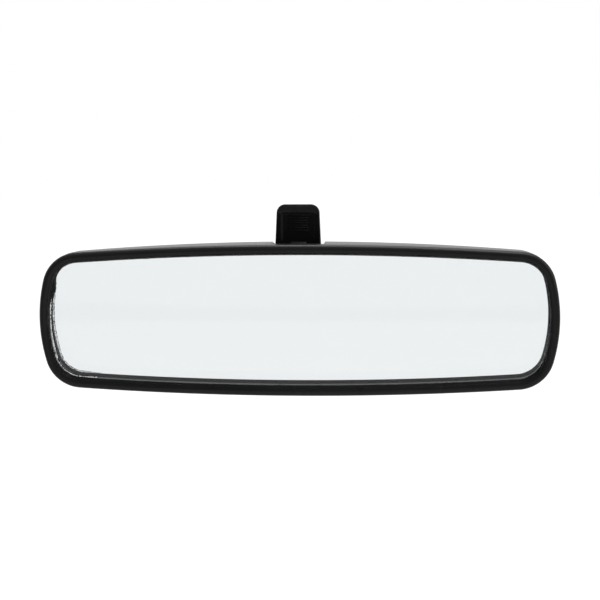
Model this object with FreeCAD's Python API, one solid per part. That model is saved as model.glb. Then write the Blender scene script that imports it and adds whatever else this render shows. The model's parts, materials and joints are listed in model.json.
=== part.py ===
import FreeCAD, Part
import math
import os

from FreeCAD import Placement, Rotation, Vector

# Interior rearview mirror with a dip lever and a double-ball arm.
# Millimetres and degrees. +X runs along the mirror, -Y points at the driver, +Z is the lever's side.
# The origin is the middle of the windscreen button's bonded face.
# Head pieces are drawn about the middle of the bezel's front plane, with y growing away from the driver.
# Arm pieces are drawn about the foot ball with the arm along +Z, and foot pieces on the windscreen plane.

# --- head outline -----------------------------------------------------------------------------
mirror_width = 250.0
mirror_height = 73.5
long_edge_radius = 1600.0
side_edge_radius = 78.0
corner_radius = 17.8

# --- bezel --------------------------------------------------------------------------------------
bezel_depth = 7.0
bezel_round = 2.4
band_width = 3.9            # outer edge to the crease on the front
lip_width = 5.0             # outer edge to the lip's opening
lip_land = 0.5              # blunt end of the lip
glass_front = 3.0           # front plane to the glass
seal_thickness = 0.4
glass_lap = 0.8             # how far the lip laps the glass
glass_clearance = 0.3       # bezel wall to the glass's edge
skirt_depth = 4.0           # skirt that plugs into the case
skirt_clearance = 0.3
catch_length = 8.0
catch_height = 1.2
catch_reach = 0.6
catch_clearance = 0.15
catch_places = (-92.0, -42.0, 42.0, 92.0)

# --- glass --------------------------------------------------------------------------------------
glass_thin = 2.2            # thickness at the lever's side
wedge_angle = 3.2
silver_thickness = 0.15
film_thickness = 0.35
film_margin = 2.0
foam_size = (22.0, 13.0)
foam_places = ((-78.0, 13.0), (78.0, 13.0), (-78.0, -13.0), (78.0, -13.0))
foam_back = 14.0

# --- rear case ----------------------------------------------------------------------------------
case_depth = 27.0           # bezel's back face to the middle of the case's back
case_inset = 0.2
case_wall = 2.0
case_draft = 2.0
back_radius = 560.0         # the back is an arc along the mirror
back_round = 8.0
stud_opening_radius = 9.0
rib_thickness = 2.0
notch_width = 26.0
notch_reach = 14.5          # notch's back edge behind the lever's pivot
notch_corner = 3.0

# --- dip mechanism ------------------------------------------------------------------------------
pivot_reach = 6.5           # both pivots in front of the bracket
lever_pin_drop = 11.6       # lever pin below the long edge
hinge_pin_rise = 14.6       # hinge pin above the other long edge
dip_angle = 4.5
lever_travel = 40.0
lever_pin_radius = 1.5
drive_pin_radius = 1.25
hinge_pin_radius = 2.0
running_clearance = 0.05
side_clearance = 0.4        # between plates that turn past each other
slot_clearance = 0.15
hub_radius = 4.0
hub_half_width = 4.0
stem_thickness = 5.0
stem_length = 12.5
stem_shoulder = 8.4         # pivot to where the stem thins under the tab
stem_sink = 2.0             # stem's reach into the tab
stem_top = (-0.4, 1.6)      # front and back of the stem inside the tab
tab_width = 22.4
tab_top_width = 21.0
tab_skirt = 2.4             # tab below the stem's top, into the notch
tab_thickness = 4.6
tab_stand = 17.6            # tab's top above the mirror's edge
tab_bend = 14.0             # tab against stem
tab_corner = 3.2
tab_round = 0.6
pad_width = 15.4            # sunk pad, open at the tab's foot
pad_drop = 4.4
pad_depth = 0.9
pad_rib_count = 7
pad_rib_pitch = 1.2
pad_rib_width = 10.4
pad_rib_height = 0.5
drive_lug_thickness = 2.5
drive_lug_wall = 1.4
fork_reach = 0.6            # fork's tips above the drive pin's highest place

# --- bracket ------------------------------------------------------------------------------------
sheet = 2.0
back_room = 6.5             # bracket to the case's back wall
bracket_half_width = 22.0
bracket_mid_half_width = 13.0
ear_gap = 0.98              # drive pin's sweep to the lever ears
hinge_ear_radius = 5.0
hinge_lug_thickness = 4.0
hinge_lug_radius = 6.0
bush_wall = 1.2
clip_radius = 4.0
clip_thickness = 0.8
clip_groove = 0.4
bump_radius = 3.0
bump_place = (9.0, 12.5)    # x and z of the rubber stops
bump_clearance = 0.3
leaf_width = 6.0
leaf_thickness = 0.5
leaf_gap = 2.5              # stud's washer to the leaf
leaf_seat = 4.0
leaf_clearance = 0.3

# --- balls, studs and arm -----------------------------------------------------------------------
ball_radius = 8.5
liner_wall = 1.2
cup_wall = 1.8
neck_radius = 3.5
socket_angle = 70.0         # socket's edge from the stud's side
liner_angle = 72.0
cup_clearance = 2.0         # socket to the case's back
arm_length = 50.0           # ball to ball
arm_slope = 30.0
tube_wall = 1.6
tube_gap = 1.0              # tube's end to the head socket
tube_lip = 1.4
tube_lip_reach = 1.0
tube_chamfer = 0.8
spigot_length = 5.0
seat_front = 4.0
seat_web = 3.2
pilot_radius = 4.4
pilot_length = 2.5
bore_radius = 3.0
washer_thickness = 0.8
spring_radius = 6.6
spring_wire = 0.7
spring_turns = 5
stud_shank_radius = 3.0
stud_shank_length = 8.0
stud_flange_radius = 7.0
stud_flange = 2.0
stud_washer_radius = 6.2
stud_washer_thickness = 1.2
nut_across_flats = 10.0
nut_height = 5.0

# --- windscreen foot ----------------------------------------------------------------------------
windscreen_angle = 40.0
foot_clearance = 1.0        # foot's boss to the tube's sweep
foot_width = 27.0
foot_length = 31.0
foot_top = 9.1
foot_gap = 0.6
foot_corner = 5.0
foot_round = 1.5
foot_boss_radius = 8.5
foot_boss = 1.5
button_thickness = 4.5
button_length = 22.0
button_narrow = 14.0
button_wide = 17.0
button_bevel = 1.0
button_clearance = 0.15
set_screw_radius = 2.0
set_screw_place = -10.5
set_screw_socket = 1.0

# --- derived places -----------------------------------------------------------------------------
half_width = mirror_width / 2
half_height = mirror_height / 2
glass_inset = lip_width - glass_lap
pocket_inset = glass_inset - glass_clearance
case_back = bezel_depth + case_depth
bracket_front = case_back - case_wall - back_room - sheet
pivot_depth = bracket_front - pivot_reach
pin_top = half_height - lever_pin_drop
pin_bottom = hinge_pin_rise - half_height
half_travel = lever_travel / 2
swing_ratio = math.sin(math.radians(dip_angle / 2)) / math.sin(math.radians(half_travel))
drive_lug_start = hub_half_width + sheet + 3 * side_clearance
drive_radius = (pin_top - pin_bottom) * swing_ratio / (1 - swing_ratio)
drive_pin_low = drive_radius * math.cos(math.radians(half_travel)) - drive_pin_radius
ear_radius = drive_pin_low - ear_gap
liner_radius = ball_radius + running_clearance + liner_wall
socket_radius = liner_radius + running_clearance
cup_radius = socket_radius + cup_wall
head_ball_y = case_back + cup_clearance + cup_radius
tube_radius = socket_radius + tube_wall
tube_end = cup_radius + tube_gap
tube_lip_radius = socket_radius - tube_lip_reach
seat_back = socket_radius + seat_web
ball_height = foot_top + foot_boss + foot_clearance + tube_radius
glass_reach = glass_thin + (mirror_height - 2 * glass_inset) * math.tan(math.radians(wedge_angle))

arm_turn = math.radians(arm_slope)
screen_turn = math.radians(windscreen_angle)
foot_ball = Vector(0, -ball_height * math.sin(screen_turn), ball_height * math.cos(screen_turn))
arm_axis = Vector(0, -math.cos(arm_turn), math.sin(arm_turn))
head_ball = foot_ball + arm_axis * arm_length
HEAD_PLACE = Placement(head_ball - Vector(0, head_ball_y, 0), Rotation())
ARM_PLACE = Placement(foot_ball, Rotation(Vector(0, 0, 1), arm_axis))
FOOT_PLACE = Placement(Vector(0, 0, 0), Rotation(Vector(1, 0, 0), windscreen_angle))


# --- helpers ------------------------------------------------------------------------------------
def box(x0, x1, y0, y1, z0, z1):
    return Part.makeBox(x1 - x0, y1 - y0, z1 - z0, Vector(x0, y0, z0))


def rod(radius, x0, x1, y, z):
    """A cylinder along X."""
    return Part.makeCylinder(radius, x1 - x0, Vector(x0, y, z), Vector(1, 0, 0))


def prism(wire, direction):
    return Part.Face(wire).extrude(direction)


def polygon(points):
    return Part.makePolygon(list(points) + [points[0]])


def spun(points):
    """Spin a closed (radius, height) profile about Z. A point marked True is the middle of an arc."""
    edges = []
    start = Vector(points[0][0], 0, points[0][1])
    through = None
    for point in points[1:] + points[:1]:
        place = Vector(point[0], 0, point[1])
        if len(point) == 3:
            through = place
            continue
        if through:
            edges.append(Part.Arc(start, through, place).toShape())
        else:
            edges.append(Part.makeLine(start, place))
        start = place
        through = None
    return Part.Face(Part.Wire(edges)).revolve(Vector(0, 0, 0), Vector(0, 0, 1), 360)


def on_sphere(radius, angle):
    """A (radius, height) point on a sphere, its angle measured from -Z."""
    turn = math.radians(angle)
    return (radius * math.sin(turn), -radius * math.cos(turn))


def via_sphere(radius, angle):
    return on_sphere(radius, angle) + (True,)


def both_sides(shape):
    mirrored = shape.mirror(Vector(0, 0, 0), Vector(1, 0, 0))
    return Part.Compound([shape, mirrored])


def outline(inset, y):
    """The mirror's closed outline, drawn inwards by inset: eight tangent arcs in a plane of constant y."""
    top_centre = (0.0, half_height - long_edge_radius)
    side_centre = (half_width - side_edge_radius, 0.0)
    to_top = long_edge_radius - corner_radius
    to_side = side_edge_radius - corner_radius
    gap_x = side_centre[0] - top_centre[0]
    gap_z = side_centre[1] - top_centre[1]
    gap = math.hypot(gap_x, gap_z)
    along = (to_top ** 2 - to_side ** 2 + gap ** 2) / (2 * gap)
    across = math.sqrt(to_top ** 2 - along ** 2)
    corner_x = top_centre[0] + (along * gap_x + across * gap_z) / gap
    corner_z = top_centre[1] + (along * gap_z - across * gap_x) / gap

    top_turn = math.atan2(corner_z - top_centre[1], corner_x)
    side_turn = math.atan2(corner_z, corner_x - side_centre[0])
    mid_turn = (top_turn + side_turn) / 2

    def point(centre_x, centre_z, radius, turn):
        return (centre_x + (radius - inset) * math.cos(turn), centre_z + (radius - inset) * math.sin(turn))

    top_end = point(top_centre[0], top_centre[1], long_edge_radius, top_turn)
    corner_mid = point(corner_x, corner_z, corner_radius, mid_turn)
    side_end = point(side_centre[0], side_centre[1], side_edge_radius, side_turn)
    top_mid = (0.0, half_height - inset)
    side_mid = (half_width - inset, 0.0)

    def arc(first, through, last, sign_x, sign_z):
        points = [Vector(sign_x * p[0], y, sign_z * p[1]) for p in (first, through, last)]
        return Part.Arc(*points).toShape()

    edges = []
    for sign_x, sign_z in ((1, 1), (1, -1), (-1, -1), (-1, 1)):
        edges.append(arc(top_end, corner_mid, side_end, sign_x, sign_z))
    for sign_z in (1, -1):
        left_end = (-top_end[0], top_end[1])
        edges.append(arc(top_end, top_mid, left_end, 1, sign_z))
    for sign_x in (1, -1):
        lower_end = (side_end[0], -side_end[1])
        edges.append(arc(side_end, side_mid, lower_end, sign_x, 1))
    return Part.Wire(Part.__sortEdges__(edges))


def slab(inset, y0, y1):
    return prism(outline(inset, y0), Vector(0, y1 - y0, 0))


def edge_height(inset, x):
    """Height of the long edge, drawn in by inset, at a place x along the mirror."""
    radius = long_edge_radius - inset
    return half_height - long_edge_radius + math.sqrt(radius ** 2 - x ** 2)


def glass_back(z):
    top = half_height - glass_inset
    return glass_front + glass_thin + (top - z) * math.tan(math.radians(wedge_angle))


def wedge_layer(inset, start, thickness):
    """A sheet that lies start behind the glass's back face."""
    reach = mirror_height
    low = glass_back(-reach)
    high = glass_back(reach)
    corners = [
        Vector(-mirror_width, high + start, reach),
        Vector(-mirror_width, high + start + thickness, reach),
        Vector(-mirror_width, low + start + thickness, -reach),
        Vector(-mirror_width, low + start, -reach),
    ]
    sheet_solid = prism(polygon(corners), Vector(2 * mirror_width, 0, 0))
    return slab(inset, glass_front - mirror_height, glass_front + mirror_height).common(sheet_solid)


# --- bezel and glass ----------------------------------------------------------------------------
def catch(x, side, grow):
    """One barb of the bezel's skirt, or its pocket when grown."""
    wall = edge_height(case_inset + case_wall, x)
    middle = bezel_depth + skirt_depth - catch_height
    shape = box(
        x - catch_length / 2 - grow, x + catch_length / 2 + grow,
        middle - catch_height / 2 - grow, middle + catch_height / 2 + grow,
        wall - case_wall / 2, wall + catch_reach + grow)
    if side < 0:
        shape = shape.mirror(Vector(0, 0, 0), Vector(0, 0, 1))
    return shape


def catches(grow):
    shapes = []
    for x in catch_places:
        for side in (1, -1):
            shapes.append(catch(x, side, grow))
    return shapes


def front_bezel():
    body = slab(0, 0, bezel_depth)
    front_edges = [edge for edge in body.Edges if abs(edge.BoundBox.YMax) < 1e-6]
    body = body.makeFillet(bezel_round, front_edges)
    skirt_inset = case_inset + case_wall + skirt_clearance
    skirt = slab(skirt_inset, bezel_depth, bezel_depth + skirt_depth)
    body = body.fuse([skirt] + catches(0)).removeSplitter()
    seat = glass_front - seal_thickness
    slope_end = seat - lip_land
    slope = Part.makeLoft([outline(band_width, 0), outline(lip_width, slope_end)], True, True)
    land = slab(lip_width, slope_end, seat)
    pocket = slab(pocket_inset, seat, bezel_depth + skirt_depth)
    notch = box(
        -notch_width / 2, notch_width / 2,
        bezel_depth, bezel_depth + skirt_depth,
        0, half_height)
    return body.cut([slope, land, pocket, notch])


def mirror_glass():
    return wedge_layer(glass_inset, -glass_reach, glass_reach).common(
        slab(glass_inset, glass_front, glass_front + mirror_height))


def silver_layer():
    return wedge_layer(glass_inset, 0, silver_thickness)


def backing_film():
    return wedge_layer(glass_inset + film_margin, silver_thickness, film_thickness)


def edge_seal():
    seat = glass_front - seal_thickness
    outer = slab(pocket_inset, seat, glass_front)
    return outer.cut(slab(lip_width, seat, glass_front))


def foam_blocks():
    behind = wedge_layer(glass_inset + film_margin, silver_thickness + film_thickness, mirror_height)
    blocks = []
    for x, z in foam_places:
        block = box(
            x - foam_size[0] / 2, x + foam_size[0] / 2,
            glass_front, foam_back,
            z - foam_size[1] / 2, z + foam_size[1] / 2)
        blocks.append(block.common(behind))
    return Part.Compound(blocks)


# --- rear case ----------------------------------------------------------------------------------
def case_form(trim):
    """The case's outer form, or the hollow inside it when trimmed by the wall."""
    inset = case_inset + trim
    reach = case_depth + back_round
    narrowing = reach * math.tan(math.radians(case_draft))
    front = outline(inset, bezel_depth)
    far = outline(inset + narrowing, bezel_depth + reach)
    form = Part.makeLoft([front, far], True, True)
    back = Part.makeCylinder(
        back_radius - trim, 2 * mirror_height,
        Vector(0, case_back - back_radius, -mirror_height), Vector(0, 0, 1))
    form = form.common(back)
    back_face = max(form.Faces, key=lambda face: face.CenterOfMass.y)
    return form.makeFillet(back_round - trim, back_face.Edges)


def drive_place(swing):
    """The drive pin's place with the lever turned by swing from upright, away from the driver."""
    turn = math.radians(swing)
    return (pivot_depth + drive_radius * math.sin(turn), pin_top + drive_radius * math.cos(turn))


def drive_lugs():
    """Forked lugs that take the drive pin's ends."""
    inner = drive_lug_start
    outer = inner + drive_lug_thickness
    rest_y, rest_z = drive_place(half_travel)
    slot_radius = drive_pin_radius + slot_clearance
    tip_z = pin_top + drive_radius + fork_reach
    front = rest_y - slot_radius - drive_lug_wall
    lug = box(
        inner, outer,
        front, case_back,
        rest_z - slot_radius - drive_lug_wall, tip_z)
    slot = rod(slot_radius, inner, outer, rest_y, rest_z)
    slot = slot.fuse(box(inner, outer, rest_y - slot_radius, rest_y + slot_radius, rest_z, tip_z))
    return both_sides(lug.cut(slot))


def hinge_lug_span():
    inner = bracket_half_width + side_clearance
    return inner, inner + hinge_lug_thickness


def hinge_lugs():
    inner, outer = hinge_lug_span()
    lug = rod(hinge_lug_radius, inner, outer, pivot_depth, pin_bottom)
    lug = lug.fuse(box(
        inner, outer,
        pivot_depth, case_back,
        pin_bottom - hinge_lug_radius, pin_bottom + hinge_lug_radius))
    bore = rod(hinge_pin_radius + running_clearance + bush_wall, inner, outer, pivot_depth, pin_bottom)
    return both_sides(lug.cut(bore))


def foam_posts():
    """Crossed ribs behind each foam block."""
    ribs = []
    for x, z in foam_places:
        half_x = foam_size[0] / 2
        half_z = foam_size[1] / 2
        half_rib = rib_thickness / 2
        ribs.append(box(x - half_x, x + half_x, foam_back, case_back, z - half_rib, z + half_rib))
        ribs.append(box(x - half_rib, x + half_rib, foam_back, case_back, z - half_z, z + half_z))
    return ribs


def rear_case():
    outer = case_form(0)
    shell = outer.cut(case_form(case_wall))
    notch = box(
        -notch_width / 2, notch_width / 2,
        bezel_depth - notch_corner * 2, pivot_depth + notch_reach,
        half_height - case_wall * 4, half_height)
    upright = [edge for edge in notch.Edges if edge.BoundBox.ZLength > case_wall]
    notch = notch.makeFillet(notch_corner, upright)
    opening = Part.makeCylinder(
        stud_opening_radius, 2 * back_round,
        Vector(0, case_back - back_round, 0), Vector(0, 1, 0))
    shell = shell.cut([notch, opening])
    inside = [drive_lugs(), hinge_lugs()] + foam_posts()
    fitted = [shape.common(outer) for shape in inside]
    shell = shell.fuse(fitted).removeSplitter()
    return shell.cut(catches(catch_clearance))


def hinge_bushes():
    inner, outer = hinge_lug_span()
    bore = hinge_pin_radius + running_clearance
    bush = rod(bore + bush_wall, inner, outer, pivot_depth, pin_bottom)
    return both_sides(bush.cut(rod(bore, inner, outer, pivot_depth, pin_bottom)))


# --- dip lever ----------------------------------------------------------------------------------
def pad_rib(step):
    """One rib on the tab's pad, drawn on the tab's own axes."""
    middle = -pad_drop - pad_rib_pitch * (step + 1)
    front = -tab_thickness / 2 + pad_depth
    radius = pad_rib_pitch * 0.3
    rib = rod(radius, -pad_rib_width / 2, pad_rib_width / 2, front, middle)
    cover = box(
        -pad_rib_width / 2, pad_rib_width / 2,
        front - pad_rib_height, front + radius,
        middle - radius, middle + radius)
    return rib.common(cover)


def dip_lever():
    lean = math.radians(half_travel)
    tab_lean = math.radians(half_travel - tab_bend)
    base_y = pivot_depth + stem_length * math.sin(lean)
    base_z = pin_top + stem_length * math.cos(lean)
    tab_length = (half_height + tab_stand - base_z) / math.cos(tab_lean)

    tab_foot = -tab_length - tab_skirt
    tab = prism(polygon([
        Vector(-tab_width / 2, -tab_thickness / 2, tab_foot),
        Vector(tab_width / 2, -tab_thickness / 2, tab_foot),
        Vector(tab_top_width / 2, -tab_thickness / 2, 0),
        Vector(-tab_top_width / 2, -tab_thickness / 2, 0),
    ]), Vector(0, tab_thickness, 0))
    top_corners = [
        edge for edge in tab.Edges
        if edge.BoundBox.YLength > tab_thickness / 2 and abs(edge.BoundBox.ZMax) < 1e-6]
    tab = tab.makeFillet(tab_corner, top_corners)
    rims = [
        edge for edge in tab.Edges
        if edge.BoundBox.YLength < 1e-3 and edge.BoundBox.ZMax > 1e-3 + tab_foot]
    tab = tab.makeFillet(tab_round, rims)
    recess = box(
        -pad_width / 2, pad_width / 2,
        -tab_thickness, -tab_thickness / 2 + pad_depth,
        tab_foot, -pad_drop)
    tab = tab.cut(recess)
    tab = tab.fuse([pad_rib(step) for step in range(pad_rib_count)])
    tab.translate(Vector(0, 0, tab_length))
    tab.rotate(Vector(0, 0, 0), Vector(1, 0, 0), -(half_travel - tab_bend))
    tab.translate(Vector(0, base_y, base_z))

    stem_half = stem_thickness / 2
    stem = prism(polygon([
        Vector(-hub_half_width, -stem_half, 0),
        Vector(-hub_half_width, stem_half, 0),
        Vector(-hub_half_width, stem_half, stem_shoulder),
        Vector(-hub_half_width, stem_top[1], stem_length + stem_sink),
        Vector(-hub_half_width, stem_top[0], stem_length + stem_sink),
        Vector(-hub_half_width, -stem_half, stem_shoulder),
    ]), Vector(2 * hub_half_width, 0, 0))
    stem.rotate(Vector(0, 0, 0), Vector(1, 0, 0), -half_travel)
    stem.translate(Vector(0, pivot_depth, pin_top))
    hub = rod(hub_radius, -hub_half_width, hub_half_width, pivot_depth, pin_top)
    lever = hub.fuse([stem, tab]).removeSplitter()
    drive_y, drive_z = drive_place(half_travel)
    pin_bore = rod(
        lever_pin_radius + running_clearance, -hub_half_width, hub_half_width, pivot_depth, pin_top)
    drive_bore = rod(drive_pin_radius, -hub_half_width, hub_half_width, drive_y, drive_z)
    return lever.cut([pin_bore, drive_bore])


def drive_pin():
    reach = drive_lug_start + drive_lug_thickness
    drive_y, drive_z = drive_place(half_travel)
    return rod(drive_pin_radius, -reach, reach, drive_y, drive_z)


# --- bracket ------------------------------------------------------------------------------------
def pivot_bracket():
    back = bracket_front + sheet
    lever_ear_inner = hub_half_width + side_clearance
    lever_ear_outer = lever_ear_inner + sheet
    foot_z = pin_bottom - hinge_ear_radius
    shoulder_z = pin_bottom + 2 * hinge_ear_radius
    top_z = pin_top + ear_radius
    wide = box(-bracket_half_width, bracket_half_width, bracket_front, back, foot_z, shoulder_z)
    middle_top = bump_place[1] + bump_radius
    middle = box(-bracket_mid_half_width, bracket_mid_half_width, bracket_front, back, foot_z, middle_top)
    neck = box(-lever_ear_outer, lever_ear_outer, bracket_front, back, 0, top_z)
    plate = wide.fuse([middle, neck]).removeSplitter()

    hinge_ear = rod(
        hinge_ear_radius, bracket_half_width - sheet, bracket_half_width, pivot_depth, pin_bottom)
    hinge_ear = hinge_ear.fuse(box(
        bracket_half_width - sheet, bracket_half_width,
        pivot_depth, back, foot_z, pin_bottom + hinge_ear_radius))
    lever_ear = rod(ear_radius, lever_ear_inner, lever_ear_outer, pivot_depth, pin_top)
    lever_ear = lever_ear.fuse(box(
        lever_ear_inner, lever_ear_outer,
        pivot_depth, back, pin_top - ear_radius, top_z))
    body = plate.fuse([both_sides(hinge_ear), both_sides(lever_ear)]).removeSplitter()
    stud_hole = Part.makeCylinder(
        stud_shank_radius, sheet, Vector(0, bracket_front, 0), Vector(0, 1, 0))
    hinge_hole = rod(
        hinge_pin_radius, -bracket_half_width, bracket_half_width, pivot_depth, pin_bottom)
    lever_hole = rod(lever_pin_radius, -lever_ear_outer, lever_ear_outer, pivot_depth, pin_top)
    return body.cut([stud_hole, hinge_hole, lever_hole])


def clip_start():
    return hinge_lug_span()[1] + side_clearance


def hinge_pin():
    end = clip_start() + clip_thickness * 2
    pin = rod(hinge_pin_radius, -end, end, pivot_depth, pin_bottom)
    groove = rod(
        clip_radius, clip_start(), clip_start() + clip_thickness, pivot_depth, pin_bottom)
    core = rod(
        hinge_pin_radius - clip_groove, clip_start(), clip_start() + clip_thickness,
        pivot_depth, pin_bottom)
    return pin.cut(both_sides(groove.cut(core)))


def pin_clips():
    start = clip_start()
    end = start + clip_thickness
    inner = hinge_pin_radius - clip_groove
    clip = rod(clip_radius, start, end, pivot_depth, pin_bottom)
    clip = clip.cut(rod(inner, start, end, pivot_depth, pin_bottom))
    mouth = box(start, end, pivot_depth - inner, pivot_depth + inner, pin_bottom - clip_radius, pin_bottom)
    return both_sides(clip.cut(mouth))


def lever_pin():
    reach = hub_half_width + side_clearance + sheet + side_clearance / 2
    return rod(lever_pin_radius, -reach, reach, pivot_depth, pin_top)


def detent_spring():
    """A leaf on the bracket whose rolled tip rides under the lever's hub."""
    tip_radius = leaf_thickness * 2
    tip_z = pin_top - hub_radius - leaf_clearance - tip_radius
    start_z = stud_washer_radius + leaf_gap
    bend_z = start_z + leaf_seat
    half = leaf_width / 2
    front = bracket_front - leaf_thickness
    flat = box(-half, half, front, bracket_front, start_z, bend_z)
    run = polygon([
        Vector(-half, front, bend_z - 2 * leaf_thickness),
        Vector(-half, bracket_front, bend_z),
        Vector(-half, pivot_depth + leaf_thickness, tip_z + tip_radius / 2),
        Vector(-half, pivot_depth, tip_z),
    ])
    strip = prism(run, Vector(leaf_width, 0, 0))
    tip = rod(tip_radius, -half, half, pivot_depth, tip_z)
    return flat.fuse([strip, tip]).removeSplitter()


def bump_stops():
    """Rubber stops that meet the case's back when the mirror is dipped."""
    x, z = bump_place
    back = bracket_front + sheet
    room = case_back - case_wall - back
    closing = (z + bump_radius - pin_bottom) * math.sin(math.radians(dip_angle))
    height = room - closing - bump_clearance
    stop = Part.makeCylinder(bump_radius, height, Vector(x, back, z), Vector(0, 1, 0))
    return both_sides(stop)


# --- head ball stud -----------------------------------------------------------------------------
def stud(flange_start, flange_end, flange_radius, shank_end, shank_radius):
    """Ball at the origin, shank along -Z."""
    neck_start = math.sqrt(ball_radius ** 2 - neck_radius ** 2)
    return spun([
        (0.0, ball_radius),
        (ball_radius, 0.0, True),
        (neck_radius, -neck_start),
        (neck_radius, -flange_start),
        (flange_radius, -flange_start),
        (flange_radius, -flange_end),
        (shank_radius, -flange_end),
        (shank_radius, -shank_end),
        (0.0, -shank_end),
    ])


def head_ball_stud():
    back = bracket_front + sheet
    flange_end = head_ball_y - back
    shape = stud(
        flange_end - stud_flange, flange_end, stud_flange_radius,
        flange_end + sheet + stud_shank_length, stud_shank_radius)
    shape.rotate(Vector(0, 0, 0), Vector(1, 0, 0), -90)
    shape.translate(Vector(0, head_ball_y, 0))
    return shape


def stud_washer():
    ring = Part.makeCylinder(
        stud_washer_radius, stud_washer_thickness,
        Vector(0, bracket_front - stud_washer_thickness, 0), Vector(0, 1, 0))
    hole = Part.makeCylinder(
        stud_shank_radius, stud_washer_thickness,
        Vector(0, bracket_front - stud_washer_thickness, 0), Vector(0, 1, 0))
    return ring.cut(hole)


def stud_nut():
    start = bracket_front - stud_washer_thickness - nut_height
    across_corners = nut_across_flats / math.cos(math.radians(30))
    corners = []
    for step in range(6):
        turn = math.radians(60 * step)
        corners.append(Vector(
            across_corners / 2 * math.cos(turn), start, across_corners / 2 * math.sin(turn)))
    hexagon = prism(polygon(corners), Vector(0, nut_height, 0))
    hole = Part.makeCylinder(stud_shank_radius, nut_height, Vector(0, start, 0), Vector(0, 1, 0))
    return hexagon.cut(hole)


# --- arm: drawn with the foot ball at the origin and the head ball at +Z -------------------------
def ball_liner():
    """Nylon shell round a ball, open towards the stud at -Z."""
    inner = ball_radius + running_clearance
    return spun([
        on_sphere(inner, liner_angle),
        via_sphere(inner, 90),
        (bore_radius, math.sqrt(inner ** 2 - bore_radius ** 2)),
        (bore_radius, math.sqrt(liner_radius ** 2 - bore_radius ** 2)),
        via_sphere(liner_radius, 90),
        on_sphere(liner_radius, liner_angle),
    ])


def turned_about(shape):
    """Turn a head-end piece end for end, so that it opens towards the head."""
    turned = shape.copy()
    turned.rotate(Vector(0, 0, 0), Vector(1, 0, 0), 180)
    turned.translate(Vector(0, 0, arm_length))
    return turned


def arm_tube():
    """The foot end is rolled in round the ball; a lip at the head end keeps the socket's spigot in."""
    end = arm_length - tube_end
    rolled = (socket_angle + 90) / 2
    return spun([
        on_sphere(socket_radius, socket_angle),
        via_sphere(socket_radius, rolled),
        (socket_radius, 0.0),
        (socket_radius, end - tube_lip),
        (tube_lip_radius, end - tube_lip),
        (tube_lip_radius, end),
        (tube_radius - tube_chamfer, end),
        (tube_radius, end - tube_chamfer),
        (tube_radius, 0.0),
        via_sphere(tube_radius, rolled),
        on_sphere(tube_radius, socket_angle),
    ])


def foot_ball_seat():
    bore_fit = socket_radius - running_clearance
    body = Part.makeCylinder(bore_fit, seat_back - seat_front, Vector(0, 0, seat_front))
    pilot = Part.makeCylinder(pilot_radius, pilot_length, Vector(0, 0, seat_back))
    body = body.fuse(pilot)
    hollow = Part.makeSphere(socket_radius)
    bore = Part.makeCylinder(bore_radius, seat_back + pilot_length)
    return body.cut([hollow, bore])


def head_ball_cup():
    """Socket for the head ball, drawn about that ball and opening towards -Z."""
    shoulder = tube_end + tube_lip + running_clearance * 2
    spigot_end = shoulder + spigot_length
    ball = Part.makeSphere(cup_radius)
    neck = Part.makeCylinder(tube_lip_radius - 2 * running_clearance, shoulder)
    spigot = Part.makeCylinder(
        socket_radius - running_clearance, spigot_length, Vector(0, 0, shoulder))
    pilot = Part.makeCylinder(pilot_radius, pilot_length, Vector(0, 0, spigot_end))
    body = ball.fuse([neck, spigot, pilot])
    hollow = Part.makeSphere(socket_radius)
    bore = Part.makeCylinder(bore_radius, spigot_end + pilot_length)
    reach = 2 * cup_radius
    cone = Part.makeCone(
        reach * math.tan(math.radians(socket_angle)), 0, reach, Vector(0, 0, -reach))
    return body.cut([hollow, bore, cone])


def washer_start():
    return tube_end + tube_lip + spigot_length + 4 * running_clearance


def thrust_washer():
    """Drawn about the head ball."""
    ring = Part.makeCylinder(
        socket_radius - running_clearance, washer_thickness, Vector(0, 0, washer_start()))
    hole = Part.makeCylinder(
        pilot_radius + running_clearance, washer_thickness, Vector(0, 0, washer_start()))
    return ring.cut(hole)


def arm_spring():
    start = seat_back + spring_wire + running_clearance
    end = arm_length - washer_start() - washer_thickness - spring_wire - running_clearance
    pitch = (end - start) / spring_turns
    helix = Part.makeHelix(pitch, end - start, spring_radius)
    section = Part.Wire([Part.makeCircle(spring_wire, Vector(spring_radius, 0, 0), Vector(0, 1, 0))])
    coil = Part.Wire(helix).makePipeShell([section], True, True)
    coil.translate(Vector(0, 0, start))
    return coil


# --- foot: drawn on the windscreen plane, +Z away from the glass ---------------------------------
def button_form(grow, extension):
    """The button, or the channel that takes it: wider away from the windscreen and at one end."""
    slope = (button_wide - button_narrow) / button_length / 2
    near = -button_length / 2 - extension
    far = button_length / 2 + grow
    wires = []
    for height, bevel in ((0.0, 0.0), (button_thickness + grow, button_bevel)):
        near_half = button_wide / 2 + slope * extension + bevel + grow
        far_half = button_narrow / 2 - slope * grow + bevel + grow
        wires.append(polygon([
            Vector(-near_half, near, height), Vector(near_half, near, height),
            Vector(far_half, far, height), Vector(-far_half, far, height)]))
    return Part.makeLoft(wires, True, True)


def windscreen_button():
    return button_form(0, 0)


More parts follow.
